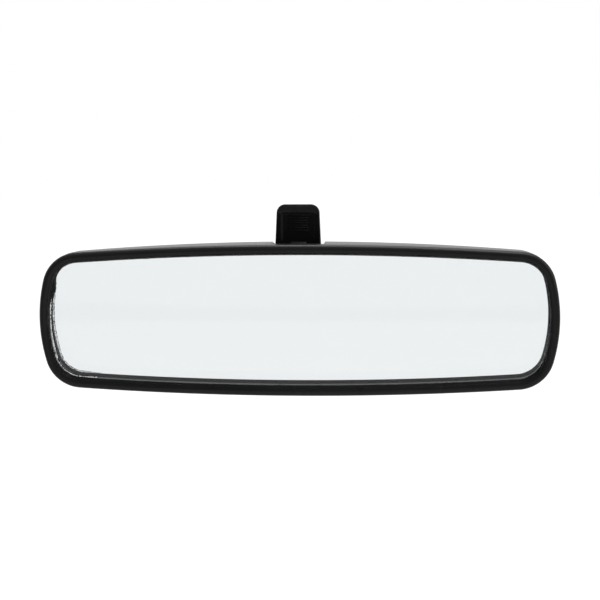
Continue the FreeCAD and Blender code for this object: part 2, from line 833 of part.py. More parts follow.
def mount_foot():
    block = box(
        -foot_width / 2, foot_width / 2,
        -foot_length / 2, foot_length / 2, foot_gap, foot_top)
    upright = [edge for edge in block.Edges if edge.BoundBox.ZLength > foot_top / 2]
    block = block.makeFillet(foot_corner, upright)
    rim = [edge for edge in block.Edges if edge.BoundBox.ZMin > foot_top - 1e-3]
    block = block.makeFillet(foot_round, rim)
    boss = Part.makeCylinder(foot_boss_radius, foot_boss, Vector(0, 0, foot_top))
    block = block.fuse(boss)
    channel = button_form(button_clearance, foot_length)
    shank_end = button_thickness + 2 * button_clearance
    shank = Part.makeCylinder(stud_shank_radius, foot_top, Vector(0, 0, shank_end))
    screw = Part.makeCylinder(
        set_screw_radius, foot_top, Vector(0, set_screw_place, button_thickness))
    return block.cut([channel, shank, screw])


def foot_ball_stud():
    flange_end = ball_height - foot_top - foot_boss
    shank_end = ball_height - button_thickness - 2 * button_clearance
    shape = stud(
        flange_end - stud_flange / 2, flange_end, neck_radius + 1.5, shank_end, stud_shank_radius)
    shape.translate(Vector(0, 0, ball_height))
    return shape


def set_screw():
    height = foot_top - button_thickness
    body = Part.makeCylinder(
        set_screw_radius, height, Vector(0, set_screw_place, button_thickness))
    corners = []
    for step in range(6):
        turn = math.radians(60 * step)
        corners.append(Vector(
            set_screw_socket * math.cos(turn),
            set_screw_place + set_screw_socket * math.sin(turn), foot_top - height / 2))
    return body.cut(prism(polygon(corners), Vector(0, 0, height)))


# --- nodes --------------------------------------------------------------------------------------
HEAD_PIECES = [
    front_bezel, mirror_glass, silver_layer, backing_film, edge_seal, foam_blocks,
    rear_case, hinge_bushes, dip_lever, drive_pin,
    pivot_bracket, hinge_pin, pin_clips, lever_pin, detent_spring, bump_stops,
    head_ball_stud, stud_washer, stud_nut,
]
FOOT_PIECES = [windscreen_button, mount_foot, foot_ball_stud, set_screw]


def build():
    nodes = {}
    for piece in HEAD_PIECES:
        nodes[piece.__name__] = (piece(), HEAD_PLACE)
    for piece in FOOT_PIECES:
        nodes[piece.__name__] = (piece(), FOOT_PLACE)
    nodes["foot_ball_liner"] = (ball_liner(), ARM_PLACE)
    nodes["foot_ball_seat"] = (foot_ball_seat(), ARM_PLACE)
    nodes["arm_tube"] = (arm_tube(), ARM_PLACE)
    nodes["arm_spring"] = (arm_spring(), ARM_PLACE)
    nodes["head_ball_cup"] = (turned_about(head_ball_cup()), ARM_PLACE)
    nodes["head_ball_liner"] = (turned_about(ball_liner()), ARM_PLACE)
    nodes["thrust_washer"] = (turned_about(thrust_washer()), ARM_PLACE)
    return nodes


def main():
    os.makedirs("parts", exist_ok=True)
    for name, (shape, place) in build().items():
        shape = shape.copy()
        shape.Placement = place.multiply(shape.Placement)
        solids = shape.Solids
        whole = solids[0] if len(solids) == 1 else Part.Compound(solids)
        whole.exportStep("parts/" + name + ".step")
        print(name, len(solids), "solids", round(whole.Volume, 1), "mm3")
    print("head ball", head_ball, "foot ball", foot_ball, "drive radius", round(drive_radius, 3))


main()
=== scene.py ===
import json
import math

import bmesh
import bpy
from mathutils import Matrix, Quaternion, Vector, noise


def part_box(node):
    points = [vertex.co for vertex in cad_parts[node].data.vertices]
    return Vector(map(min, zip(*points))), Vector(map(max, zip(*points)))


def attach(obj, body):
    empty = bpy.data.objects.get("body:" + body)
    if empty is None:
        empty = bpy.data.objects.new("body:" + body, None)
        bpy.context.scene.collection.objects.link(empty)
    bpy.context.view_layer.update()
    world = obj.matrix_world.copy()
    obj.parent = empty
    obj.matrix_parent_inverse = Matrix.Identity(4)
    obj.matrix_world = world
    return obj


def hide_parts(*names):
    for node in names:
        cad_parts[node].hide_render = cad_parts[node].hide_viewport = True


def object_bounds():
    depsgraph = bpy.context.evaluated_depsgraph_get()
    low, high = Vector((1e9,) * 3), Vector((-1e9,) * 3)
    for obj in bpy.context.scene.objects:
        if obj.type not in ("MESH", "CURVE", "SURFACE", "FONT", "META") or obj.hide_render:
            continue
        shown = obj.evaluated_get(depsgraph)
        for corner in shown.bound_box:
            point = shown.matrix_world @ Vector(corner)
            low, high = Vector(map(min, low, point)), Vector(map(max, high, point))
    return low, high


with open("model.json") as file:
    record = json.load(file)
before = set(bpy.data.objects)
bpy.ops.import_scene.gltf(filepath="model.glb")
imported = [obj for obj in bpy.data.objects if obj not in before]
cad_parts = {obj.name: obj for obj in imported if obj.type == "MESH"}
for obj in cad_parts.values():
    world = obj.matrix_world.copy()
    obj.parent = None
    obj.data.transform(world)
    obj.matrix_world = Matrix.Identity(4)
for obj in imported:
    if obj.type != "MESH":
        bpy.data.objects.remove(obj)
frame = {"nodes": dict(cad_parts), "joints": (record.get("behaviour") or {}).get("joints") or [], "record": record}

bl_info = {
    "name": "Interior Rearview Mirror",
    "version": (1, 0, 0),
    "blender": (4, 5, 0),
    "location": "3D View > Sidebar > Rearview Mirror",
    "description": "Dresses the packed rearview mirror with its mouldings, glass, metalwork and finishes",
    "category": "Object",
}

CAD_BOX = [list(corner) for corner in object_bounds()]

BEZEL_LOW, BEZEL_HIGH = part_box("front_bezel")
GLASS_LOW, GLASS_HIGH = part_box("mirror_glass")
SEAL_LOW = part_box("edge_seal")[0]
LEVER_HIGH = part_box("dip_lever")[1]
HALF_WIDTH = BEZEL_HIGH.x
HALF_HEIGHT = (BEZEL_HIGH.z - BEZEL_LOW.z) / 2
FRONT = BEZEL_LOW.y
MID_Z = (BEZEL_HIGH.z + BEZEL_LOW.z) / 2
CENTRE = Vector((0.0, FRONT, MID_Z))
GLASS_INSET = HALF_WIDTH - GLASS_HIGH.x
GLASS_FRONT = GLASS_LOW.y - FRONT
# Lumps in the sealing bead: x and z from the mirror's middle, spread and extra reach.
BEAD_LUMPS = (
    (-0.1185, 0.0145, 0.0046, 0.0021), (-0.1135, 0.0235, 0.002, 0.0005), (-0.107, -0.0275, 0.004, 0.0006),
    (0.1135, 0.0225, 0.0022, 0.0007), (0.1165, 0.0165, 0.0018, 0.0005), (0.112, -0.0255, 0.003, 0.0009),
    (0.0365, 0.0313, 0.0022, 0.0005), (-0.036, -0.0312, 0.0016, 0.0004), (0.035, -0.0313, 0.0018, 0.0004),
    (0.085, 0.0300, 0.0012, 0.0004), (0.0905, -0.0295, 0.0024, 0.0004), (-0.0945, 0.0292, 0.0014, 0.0003))
# The sealing bead and its gasket, between the lip and the glass.
BEAD_SIDES = 8
BEAD_TUCK = 0.0001
GASKET_THICKNESS = 0.00038
SEAL_GAP = 0.00002
# A hair of air keeps the glass's back off the silver.
GLASS_AIR = 0.00003
# The chipped stretch of the glass's edge: its right limit, and its top and bottom from the middle.
CHIPS_RIGHT, CHIPS_TOP, CHIPS_BOTTOM = -0.098, 0.0125, -0.0295
CHIPS_LIFT = 0.00005
# The flakes are stood up by this, a little past upright, to face the card as the tilted silver does.
FLAKE_LEAN = math.radians(94.85)
# The ragged dark line just inside the chips: its right limit, and its top and bottom from the middle.
DARK_LINE_RIGHT, DARK_LINE_TOP, DARK_LINE_BOTTOM = -0.1, 0.0135, -0.0285
TAB_LEAN = math.radians(6.0)
# How far the painted light on the lever's plastic reaches down from the tab's top: a paler band where light from
# above falls on the tab's upper rim.
LIT_TOP_END, LIT_TOP_START = 0.0052, 0.0036
# The card that the glass reflects: distance in front, then its sides and heights from the middle.
CARD_DISTANCE = 0.75
CARD_LEFT, CARD_RIGHT, CARD_LOW, CARD_HIGH = -0.5, 0.34, -0.42, -0.13
FLOOR_REACH = 9.0
JOINT_PLACES = {joint["name"]: Vector(joint["pos_m"]) for joint in frame["joints"]}


# --- sizes and colours that a user would change ---------------------------------------------------
def length(name, description, default):
    return bpy.props.FloatProperty(
        name=name, description=description, default=default, unit="LENGTH", precision=5)


def colour(name, description, default):
    return bpy.props.FloatVectorProperty(
        name=name, description=description, default=default, subtype="COLOR", min=0.0, max=1.0)


def amount(name, description, default):
    return bpy.props.FloatProperty(name=name, description=description, default=default)


class MirrorSizes(bpy.types.PropertyGroup):
    """Lengths of the mouldings and the glass."""

    long_edge: length("Long edge radius", "Bow of the top and bottom edges", 1.6)
    side_edge: length("Side edge radius", "Bow of the two ends", 0.078)
    corner: length("Corner radius", "Round between a long edge and an end", 0.0178)
    bezel_depth: length("Bezel depth", "Front plane to the joint with the case", 0.007)
    edge_round: length("Edge round", "Round of the bezel's outer edge", 0.0024)
    band: length("Band width", "Outer edge to the crease", 0.0039)
    lip: length("Lip width", "Outer edge to the lip's opening", 0.005)
    side_trim: length("Side trim", "How much narrower the lip is at the two ends", 0.0003)
    lip_land: length("Lip land", "Blunt end of the lip", 0.0005)
    skirt_start: length("Skirt start", "Inset of the skirt's outer face", 0.0025)
    skirt_depth: length("Skirt depth", "Reach of the skirt into the case", 0.004)
    wall_inset: length("Pocket inset", "Outer edge to the glass pocket's wall", 0.0039)
    notch_width: length("Notch width", "Width of the opening for the lever", 0.026)
    glass_thin: length("Thin edge", "Glass thickness at the lever's side", 0.0022)
    glass_ground: length("Ground edge", "Width of the glass's ground bevel", 0.00035)
    bead: length("Bead radius", "Typical radius of the sealing bead", 0.00022)
    wedge: bpy.props.FloatProperty(
        name="Wedge", description="Angle between the glass's faces",
        default=math.radians(3.2), subtype="ANGLE")


class LeverSizes(bpy.types.PropertyGroup):
    """Lengths of the day and night lever."""

    stem_length: length("Stem length", "Pivot to the tab", 0.0125)
    stem_shoulder: length("Stem shoulder", "Pivot to where the stem thins", 0.0062)
    stem_thickness: length("Stem thickness", "Front to back", 0.005)
    stem_width: length("Stem width", "Width of the stem and hub", 0.008)
    hub_radius: length("Hub radius", "Boss on the lever pin", 0.004)
    tab_width: length("Tab width", "Width of the finger tab at its foot", 0.0224)
    tab_top_width: length("Tab top width", "Width of the finger tab at its top", 0.021)
    tab_skirt: length("Tab skirt", "Tab below the stem's top", 0.0024)
    tab_thickness: length("Tab thickness", "Front to back", 0.0046)
    tab_corner: length("Tab corner", "Round of the tab's upper corners", 0.0042)
    soft_edge: length("Soft edge", "Round of the tab's rims", 0.0008)
    pad_width: length("Pad width", "Width of the sunk pad", 0.0154)
    pad_drop: length("Pad drop", "Tab's top to the pad", 0.0044)
    pad_depth: length("Pad depth", "Depth of the sunk pad", 0.0009)
    rib_width: length("Rib width", "Length of a rib", 0.0104)
    rib_pitch: length("Rib pitch", "Rib to rib", 0.0012)
    rib_count: bpy.props.IntProperty(name="Ribs", description="Ribs across the pad", default=7, min=1)


class MirrorColours(bpy.types.PropertyGroup):
    """Base colours of the finishes."""

    moulding: colour("Moulding", "Black plastic of the bezel and case", (0.018, 0.018, 0.0181))
    lever: colour("Lever", "Soft black plastic of the lever", (0.0008, 0.0008, 0.0009))
    paint: colour("Paint", "Satin black of the arm and foot", (0.008, 0.008, 0.0085))
    glass: colour("Glass", "Tint of the prismatic glass", (0.972, 0.988, 0.99))
    silver: colour("Silver", "Reflective coat", (0.955, 0.96, 0.962))
    zinc: colour("Zinc", "Plated pressing", (0.56, 0.53, 0.43))
    steel: colour("Steel", "Bright turned steel", (0.6, 0.6, 0.61))
    nylon: colour("Nylon", "Natural nylon", (0.72, 0.7, 0.62))


class StageSettings(bpy.types.PropertyGroup):
    """Camera and light."""

    azimuth: bpy.props.FloatProperty(
        name="Azimuth", description="Camera to the right of the mirror's axis",
        default=math.radians(3.5), subtype="ANGLE")
    elevation: bpy.props.FloatProperty(
        name="Elevation", description="Camera above the mirror's axis",
        default=math.radians(8.73), subtype="ANGLE")
    roll: bpy.props.FloatProperty(
        name="Roll", description="Camera turned about its own axis",
        default=math.radians(-0.5), subtype="ANGLE")
    distance: length("Distance", "Camera to the mirror", 0.56)
    lens: amount("Lens", "Focal length in millimetres", 70.6)
    aim_side: length("Aim side", "Aim to the right of the mirror's middle", 0.0019)
    aim_rise: length("Aim rise", "Aim above the mirror's middle", 0.01055)
    floor_drop: length("Floor drop", "Floor below the part", 0.5)
    card_glow: amount("Card glow", "Brightness of the card in front", 0.965)


def settings():
    return bpy.context.scene.rearview_mirror


class MirrorSettings(bpy.types.PropertyGroup):
    """Everything that the sidebar shows."""

    sizes: bpy.props.PointerProperty(type=MirrorSizes, name="Sizes", description="Moulding sizes")
    lever: bpy.props.PointerProperty(type=LeverSizes, name="Lever", description="Lever sizes")
    colours: bpy.props.PointerProperty(type=MirrorColours, name="Colours", description="Base colours")
    stage: bpy.props.PointerProperty(type=StageSettings, name="Stage", description="Camera and light")


# --- shader building ------------------------------------------------------------------------------
class Signal:
    """A number that varies over a surface; Python operators on it add Math nodes."""

    def __init__(self, finish, socket):
        self.finish = finish
        self.socket = socket

    def joined(self, operation, first, second):
        node = self.finish.add("ShaderNodeMath", {"operation": operation}, {0: first, 1: second})
        return Signal(self.finish, node.outputs[0])

    def __add__(self, other):
        return self.joined("ADD", self, other)

    __radd__ = __add__

    def __sub__(self, other):
        return self.joined("SUBTRACT", self, other)

    def __rsub__(self, other):
        return self.joined("SUBTRACT", other, self)

    def __mul__(self, other):
        return self.joined("MULTIPLY", self, other)

    __rmul__ = __mul__


class Finish:
    """One procedural material and the nodes that make it."""

    def __init__(self, name, **constants):
        self.material = bpy.data.materials.new(name)
        self.material.use_nodes = True
        self.tree = self.material.node_tree
        self.shader = self.tree.nodes["Principled BSDF"]
        for socket, value in constants.items():
            self.shader.inputs[socket.replace("_", " ")].default_value = value
        self.place = self.add("ShaderNodeTexCoord", {}, {}).outputs["Object"]

    def add(self, kind, options, inputs):
        """A node of that kind: its own settings first, then values or links for its sockets."""
        node = self.tree.nodes.new(kind)
        for name, value in options.items():
            setattr(node, name, value)
        for key, value in inputs.items():
            if isinstance(value, Signal):
                value = value.socket
            if isinstance(value, bpy.types.NodeSocket):
                self.tree.links.new(value, node.inputs[key])
            else:
                node.inputs[key].default_value = value
        return node

    def feed(self, socket, value):
        self.tree.links.new(value.socket if isinstance(value, Signal) else value, self.shader.inputs[socket])

    def cloud(self, scale, detail=3.0, roughness=0.55, place=None):
        node = self.add("ShaderNodeTexNoise", {"noise_dimensions": "3D"}, {
            "Vector": place or self.place, "Scale": scale, "Detail": detail, "Roughness": roughness})
        return Signal(self, node.outputs["Fac"])

    def cells(self, scale, feature="F1"):
        node = self.add("ShaderNodeTexVoronoi", {"feature": feature}, {"Vector": self.place, "Scale": scale})
        return Signal(self, node.outputs["Distance"])

    def stretched(self, stretch, turn=(0.0, 0.0, 0.0)):
        node = self.add("ShaderNodeMapping", {"vector_type": "POINT"}, {
            "Vector": self.place, "Scale": stretch, "Rotation": turn})
        return node.outputs[0]

    def between(self, low, high, share):
        """A colour from low to high by share."""
        node = self.add("ShaderNodeMix", {"data_type": "RGBA"}, {"Factor": share})
        for index, shade in ((6, low), (7, high)):
            if isinstance(shade, bpy.types.NodeSocket):
                self.tree.links.new(shade, node.inputs[index])
            else:
                node.inputs[index].default_value = (*shade, 1.0)
        return node.outputs[2]

    def spread(self, value, low_in, high_in, low_out, high_out):
        node = self.add("ShaderNodeMapRange", {"clamp": True, "interpolation_type": "SMOOTHSTEP"}, {
            "Value": value, "From Min": low_in, "From Max": high_in, "To Min": low_out, "To Max": high_out})
        return Signal(self, node.outputs[0])

    def bump(self, height, depth):
        node = self.add("ShaderNodeBump", {}, {"Height": height, "Strength": 1.0, "Distance": depth})
        self.tree.links.new(node.outputs[0], self.shader.inputs["Normal"])


def lighter(shade, gain):
    return tuple(min(1.0, channel * gain + 0.0006 * (gain - 1)) for channel in shade)


def moulded(name, shade, roughness, grain_scale, grain_depth, specular, leather=0.0):
    """Injection-moulded plastic: spark-eroded grain, slow flow shading and faint dust."""
    finish = Finish(name, Specular_IOR_Level=specular)
    flow = finish.cloud(22.0, 2.0)
    dust = finish.spread(finish.cloud(420.0, 4.0, 0.7), 0.6, 0.8, 0.0, 0.35)
    base = finish.between(shade, lighter(shade, 1.7), flow)
    finish.feed("Base Color", finish.between(base, lighter(shade, 4.0), dust))
    finish.feed("Roughness", roughness + 0.1 * (flow - 0.5) + 0.12 * dust)
    grain = finish.cloud(grain_scale, 2.0, 0.6)
    height = grain * 0.7
    if leather:
        height = height + leather * finish.spread(
            finish.cells(grain_scale * 0.42, "DISTANCE_TO_EDGE"), 0.0, 0.16, 0.0, 1.0)
    finish.bump(height, grain_depth)
    return finish.material


def lever_finish(shade):
    """The lever's plastic with painted light: paler along the top of its tab, where light from above falls."""
    finish = Finish("lever_plastic", Specular_IOR_Level=0.28)
    parts = finish.add("ShaderNodeSeparateXYZ", {}, {0: finish.place})
    top = LEVER_HIGH.z
    # Painted light: the base colour turns paler towards the tab's top, standing for the light from above on its
    # upper rim.
    painted_top_light = finish.spread(Signal(finish, parts.outputs["Z"]), top - LIT_TOP_END, top - LIT_TOP_START, 0.0, 1.0)
    cloud = finish.cloud(420.0, 3.0)
    finish.feed("Base Color", finish.between(shade, lighter(shade, 20.0), painted_top_light * (0.6 + 0.4 * cloud)))
    finish.feed("Roughness", 0.34 + 0.08 * cloud)
    finish.bump(finish.cloud(2600.0, 2.0, 0.6), 0.000008)
    return finish.material


def painted(name, shade, roughness):
    """Powder coat over metal, with orange peel and worn spots."""
    finish = Finish(name, Specular_IOR_Level=0.45)
    rub = finish.spread(finish.cloud(160.0, 5.0, 0.7), 0.62, 0.74, 0.0, 1.0)
    finish.feed("Base Color", finish.between(shade, lighter(shade, 2.6), rub))
    finish.feed("Roughness", roughness - 0.1 * rub + 0.06 * finish.cloud(45.0))
    finish.bump(finish.cloud(1500.0, 1.5) + 0.3 * finish.cloud(5200.0), 0.00004)
    return finish.material


def metal(name, shade, roughness, stretch=(1.0, 1.0, 1.0), scale=900.0, stain=0.25):
    """Bare or plated metal with drawn or turned marks along the short way of stretch."""
    finish = Finish(name, Metallic=1.0)
    marks = finish.cloud(scale, 3.0, 0.65, finish.stretched(stretch))
    blotch = finish.cloud(120.0, 4.0, 0.6)
    finish.feed("Base Color", finish.between(
        tuple(channel * (1 - stain) for channel in shade), shade, 0.4 * marks + 0.6 * blotch))
    finish.feed("Roughness", roughness - 0.08 + 0.2 * marks + 0.08 * blotch)
    finish.bump(marks, 0.00001)
    return finish.material


def glass_finish(shade):
    """Clear prismatic glass with faint wipe marks and dust."""
    finish = Finish("mirror_glass", Transmission_Weight=1.0, IOR=1.52)
    finish.shader.inputs["Base Color"].default_value = (*shade, 1.0)
    wipe = finish.cloud(60.0, 5.0, 0.7, finish.stretched((1.0, 1.0, 3.5), (0.0, 0.35, 0.0)))
    specks = finish.spread(finish.cells(240.0), 0.03, 0.05, 1.0, 0.0)
    marked = finish.spread(wipe, 0.62, 0.78, 0.0, 1.0)
    finish.feed("Roughness", 0.004 + 0.02 * marked + 0.05 * specks * marked)
    return finish.material


def silver_finish(shade):
    """Silver seen through the glass: an almost perfect mirror with a faint haze."""
    finish = Finish("silver", Metallic=1.0)
    haze = finish.cloud(14.0, 4.0, 0.6)
    finish.feed("Base Color", finish.between(
        tuple(channel * 0.985 for channel in shade), shade, haze))
    finish.feed("Roughness", 0.006 + 0.008 * haze)
    return finish.material


def rubber(name, shade, roughness):
    finish = Finish(name, Specular_IOR_Level=0.35)
    bloom = finish.spread(finish.cloud(700.0, 4.0, 0.7), 0.5, 0.75, 0.0, 1.0)
    finish.feed("Base Color", finish.between(shade, lighter(shade, 3.0), bloom))
    finish.feed("Roughness", roughness + 0.12 * bloom)
    finish.bump(finish.cloud(2600.0, 2.0), 0.00004)
    return finish.material


def foam_finish():
    finish = Finish("foam", Specular_IOR_Level=0.2, Sheen_Weight=0.2)
    cells = finish.cells(1400.0)
    # Painted shade: the base colour is darker at the pits of the cell bump, where the pores would be shaded.
    finish.feed("Base Color", finish.between((0.05, 0.05, 0.055), (0.13, 0.13, 0.14), cells))
    finish.feed("Roughness", 0.85 + 0.1 * cells)
    finish.bump(cells, 0.0002)
    return finish.material


def natural_plastic(name, shade):
    finish = Finish(name, Subsurface_Weight=0.15, Subsurface_Scale=0.001)
    flow = finish.cloud(180.0, 3.0)
    finish.feed("Base Color", finish.between(tuple(channel * 0.9 for channel in shade), shade, flow))
    finish.feed("Roughness", 0.36 + 0.12 * flow)
    finish.bump(finish.cloud(2400.0), 0.00002)
    return finish.material


def flake_finish(name, dark, light):
    """Chipped edge of the glass: some flakes stay dark, most show bright silver."""
    finish = Finish(name, Specular_IOR_Level=0.5)
    mix = finish.spread(finish.cloud(700.0, 2.0), 0.34, 0.44, 0.0, 1.0)
    finish.feed("Base Color", finish.between(dark, light, mix))
    finish.feed("Metallic", mix)
    finish.feed("Roughness", 0.04 + 0.1 * finish.cloud(900.0))
    return finish.material


def film_finish():
    finish = Finish("film", Specular_IOR_Level=0.4)
    weave = finish.cloud(500.0, 3.0)
    finish.feed("Base Color", finish.between((0.2, 0.22, 0.24), (0.3, 0.32, 0.34), weave))
    finish.feed("Roughness", 0.45 + 0.15 * weave)
    finish.bump(weave, 0.00003)
    return finish.material


def make_finishes():
    """One material for each of the record's slots."""
    colours = settings().colours
    moulding = tuple(colours.moulding)
    lever = tuple(colours.lever)
    paint = tuple(colours.paint)
    steel = tuple(colours.steel)
    nylon = tuple(colours.nylon)
    return {
        "bezel_plastic": moulded("bezel_plastic", moulding, 0.27, 3000.0, 0.000006, 0.13),
        "case_plastic": moulded("case_plastic", moulding, 0.3, 2300.0, 0.000015, 0.8, 0.5),
        "lever_plastic": lever_finish(lever),
        "mirror_glass": glass_finish(tuple(colours.glass)),
        "silver": silver_finish(tuple(colours.silver)),
        "film": film_finish(),
        "seal_rubber": rubber("seal_rubber", (0.006, 0.006, 0.006), 0.42),
        "foam": foam_finish(),
        "stop_rubber": rubber("stop_rubber", (0.015, 0.015, 0.016), 0.6),
        "bracket_steel": metal("bracket_steel", tuple(colours.zinc), 0.38, (0.3, 1.0, 1.0), 500.0),
        "bright_steel": metal("bright_steel", steel, 0.22, (1.0, 1.0, 0.2), 1600.0),
        "spring_steel": metal("spring_steel", (0.32, 0.32, 0.33), 0.34, (1.0, 1.0, 1.0), 1200.0),
        **{name: natural_plastic(name, nylon) for name in ("bush_plastic", "liner_nylon", "seat_plastic")},
        "arm_paint": painted("arm_paint", paint, 0.36),
        "foot_paint": painted("foot_paint", paint, 0.42),
        "button_metal": metal("button_metal", (0.22, 0.22, 0.225), 0.5, (1.0, 1.0, 1.0), 2200.0, 0.4),
        "screw_steel": metal("screw_steel", (0.05, 0.05, 0.055), 0.4, (1.0, 1.0, 1.0), 1800.0, 0.3),
    }


FINISHES = {}


def finish_of(slot):
    """The slot's material, made on first use."""
    if not FINISHES:
        FINISHES.update(make_finishes())
    return FINISHES[slot]


# --- mesh building --------------------------------------------------------------------------------
def place_piece(mesh, name, slot, body, stands_for=(), sharp=40.0):
    """Link a finished mesh as a piece: smooth faces, its slot's material and its body."""
    mesh.name = name
    for polygon in mesh.polygons:
        polygon.use_smooth = True
    mesh.set_sharp_from_angle(angle=math.radians(sharp))
    if not mesh.materials:
        mesh.materials.append(finish_of(slot))
    piece = bpy.data.objects.new(name, mesh)
    bpy.context.scene.collection.objects.link(piece)
    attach(piece, body)
    if stands_for:
        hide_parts(*stands_for)
    return piece


def mesh_of(bm):
    bmesh.ops.remove_doubles(bm, verts=bm.verts, dist=1e-7)
    bmesh.ops.recalc_face_normals(bm, faces=bm.faces)
    mesh = bpy.data.meshes.new("working")
    bm.to_mesh(mesh)
    bm.free()
    return mesh


def applied(mesh, *modifiers):
    """The mesh after modifiers, each a (type, settings) pair."""
    holder = bpy.data.objects.new("working", mesh)
    bpy.context.scene.collection.objects.link(holder)
    for kind, options in modifiers:
        modifier = holder.modifiers.new(kind, kind)
        for name, value in options.items():
            setattr(modifier, name, value)
    bpy.context.view_layer.update()
    evaluated = holder.evaluated_get(bpy.context.evaluated_depsgraph_get())
    result = bpy.data.meshes.new_from_object(evaluated)
    bpy.data.objects.remove(holder)
    return result


def merged_copy(node):
    """A CAD node's mesh with its doubles merged, so that it can be shaded smooth."""
    bm = bmesh.new()
    bm.from_mesh(frame["nodes"][node].data)
    bmesh.ops.remove_doubles(bm, verts=bm.verts, dist=1e-6)
    mesh = bpy.data.meshes.new("working")
    bm.to_mesh(mesh)
    bm.free()
    mesh.materials.clear()
    return mesh


def softened(corners, steps=5):
    """A closed profile from (across, along, radius) corners, each rounded by a short curve."""
    points = []
    count = len(corners)
    for index, (across, along, radius) in enumerate(corners):
        here = Vector((across, along))
        if not radius:
            points.append(here)
            continue
        before = Vector(corners[index - 1][:2]) - here
        after = Vector(corners[(index + 1) % count][:2]) - here
        opening = before.angle(after)
        reach = min(radius / math.tan(opening / 2), before.length * 0.49, after.length * 0.49)
        start = here + before.normalized() * reach
        end = here + after.normalized() * reach
        for step in range(steps + 1):
            t = step / steps
            points.append(start * (1 - t) ** 2 + here * 2 * t * (1 - t) + end * t ** 2)
    return points


def join_rings(bm, rings):
    """Faces between each ring of corners and the next."""
    for first, second in zip(rings, rings[1:]):
        for index in range(len(first)):
            bm.faces.new((first[index - 1], first[index], second[index], second[index - 1]))


def bridge(bm, rings):
    """Joined rings, closed by a face at each end."""
    join_rings(bm, rings)
    bm.faces.new(rings[0])
    bm.faces.new(rings[-1][::-1])


class Rim:
    """The mirror's outline as stations: an arc's centre, its radius and the turn of its normal."""

    def __init__(self, side_steps=14, corner_steps=18, long_steps=40):
        sizes = settings().sizes
        self.band = sizes.band + 0.0003
        self.lip = sizes.lip
        self.trim = sizes.side_trim
        top = Vector((0.0, HALF_HEIGHT - sizes.long_edge))
        side = Vector((HALF_WIDTH - sizes.side_edge, 0.0))
        to_top = sizes.long_edge - sizes.corner
        to_side = sizes.side_edge - sizes.corner
        gap = side - top
        along = (to_top ** 2 - to_side ** 2 + gap.length ** 2) / (2 * gap.length)
        across = math.sqrt(to_top ** 2 - along ** 2)
        direction = gap.normalized()
        corner = top + direction * along + Vector((direction.y, -direction.x)) * across
        side_turn = math.atan2(corner.y, corner.x - side.x)
        top_turn = math.atan2(corner.y - top.y, corner.x)
        quarter = []
        spans = (
            (side, sizes.side_edge, 0.0, side_turn, side_steps),
            (corner, sizes.corner, side_turn, top_turn, corner_steps),
            (top, sizes.long_edge, top_turn, math.pi / 2, long_steps))
        for centre, radius, first, last, steps in spans:
            for step in range(steps):
                quarter.append((centre.x, centre.y, radius, first + (last - first) * step / steps))
        quarter.append((top.x, top.y, sizes.long_edge, math.pi / 2))
        self.stations = list(quarter)
        self.stations += [(-x, z, r, math.pi - turn) for x, z, r, turn in quarter[-2::-1]]
        self.stations += [(-x, -z, r, math.pi + turn) for x, z, r, turn in quarter[1:]]
        self.stations += [(x, -z, r, -turn) for x, z, r, turn in quarter[-2:0:-1]]

    def point(self, station, inset, depth):
        x, z, radius, turn = station
        share = min(1.0, max(0.0, (inset - self.band) / (self.lip - self.band)))
        reach = radius - inset + self.trim * share * math.cos(turn) ** 2
        return Vector((x + reach * math.cos(turn), FRONT + depth, MID_Z + z + reach * math.sin(turn)))

    def sweep(self, bm, profile, keep=None):
        """Sweep a closed (inset, depth) profile round the outline, or round the kept stations."""
        runs = [self.stations]
        if keep:
            runs = [[]]
            for station in self.stations:
                if keep(self.point(station, 0.0, 0.0)):
                    runs[-1].append(station)
                elif runs[-1]:
                    runs.append([])
            if runs[-1] and len(runs) > 1:
                runs[0] = runs.pop() + runs[0]
        for run in runs:
            rings = []
            for station in run:
                rings.append([bm.verts.new(self.point(station, *point)) for point in profile])
            if keep:
                bridge(bm, rings)
            else:
                join_rings(bm, rings + rings[:1])


# --- bezel ----------------------------------------------------------------------------------------
def bezel_mesh():
    sizes = settings().sizes
    seat = SEAL_LOW.y - FRONT
    slope_end = seat - sizes.lip_land
    rim = Rim()
    bm = bmesh.new()
    crown = []
    for step in range(19):
        turn = math.pi * (0.5 - 0.72 * step / 18)
        crown.append(Vector((
            sizes.edge_round * (1 - math.sin(turn)), sizes.edge_round * (1 - math.cos(turn)))))
    crease = crown[-1] + Vector((0.00012, 0.0001))
    ring = [Vector((0.0, sizes.bezel_depth - 0.0002))] + crown
    ring += softened([
        (crease.x, crease.y, 0.00015),
        (sizes.band + 0.0003, crease.y - 0.00012, 0.0003),
        (sizes.lip, slope_end, 0.0002),
        (sizes.lip, seat, 0.00008),
        (sizes.wall_inset, seat, 0.0),
        (sizes.wall_inset, sizes.bezel_depth, 0.0),
        (0.0002, sizes.bezel_depth, 0.0),
    ], 6)
    rim.sweep(bm, ring)
    skirt = [
        (sizes.skirt_start, sizes.bezel_depth),
        (sizes.wall_inset, sizes.bezel_depth),
        (sizes.wall_inset, sizes.bezel_depth + sizes.skirt_depth),
        (sizes.skirt_start, sizes.bezel_depth + sizes.skirt_depth),
    ]

    def beside_notch(point):
        return point.z < MID_Z or abs(point.x) > sizes.notch_width / 2

    rim.sweep(bm, skirt, beside_notch)
    return mesh_of(bm)


# --- glass, silver and the bead round them --------------------------------------------------------
def glass_depth(z):
    """Depth of the glass's back face at a height."""
    sizes = settings().sizes
    top = HALF_HEIGHT - GLASS_INSET
    return GLASS_FRONT + sizes.glass_thin + (top - (z - MID_Z)) * math.tan(sizes.wedge)


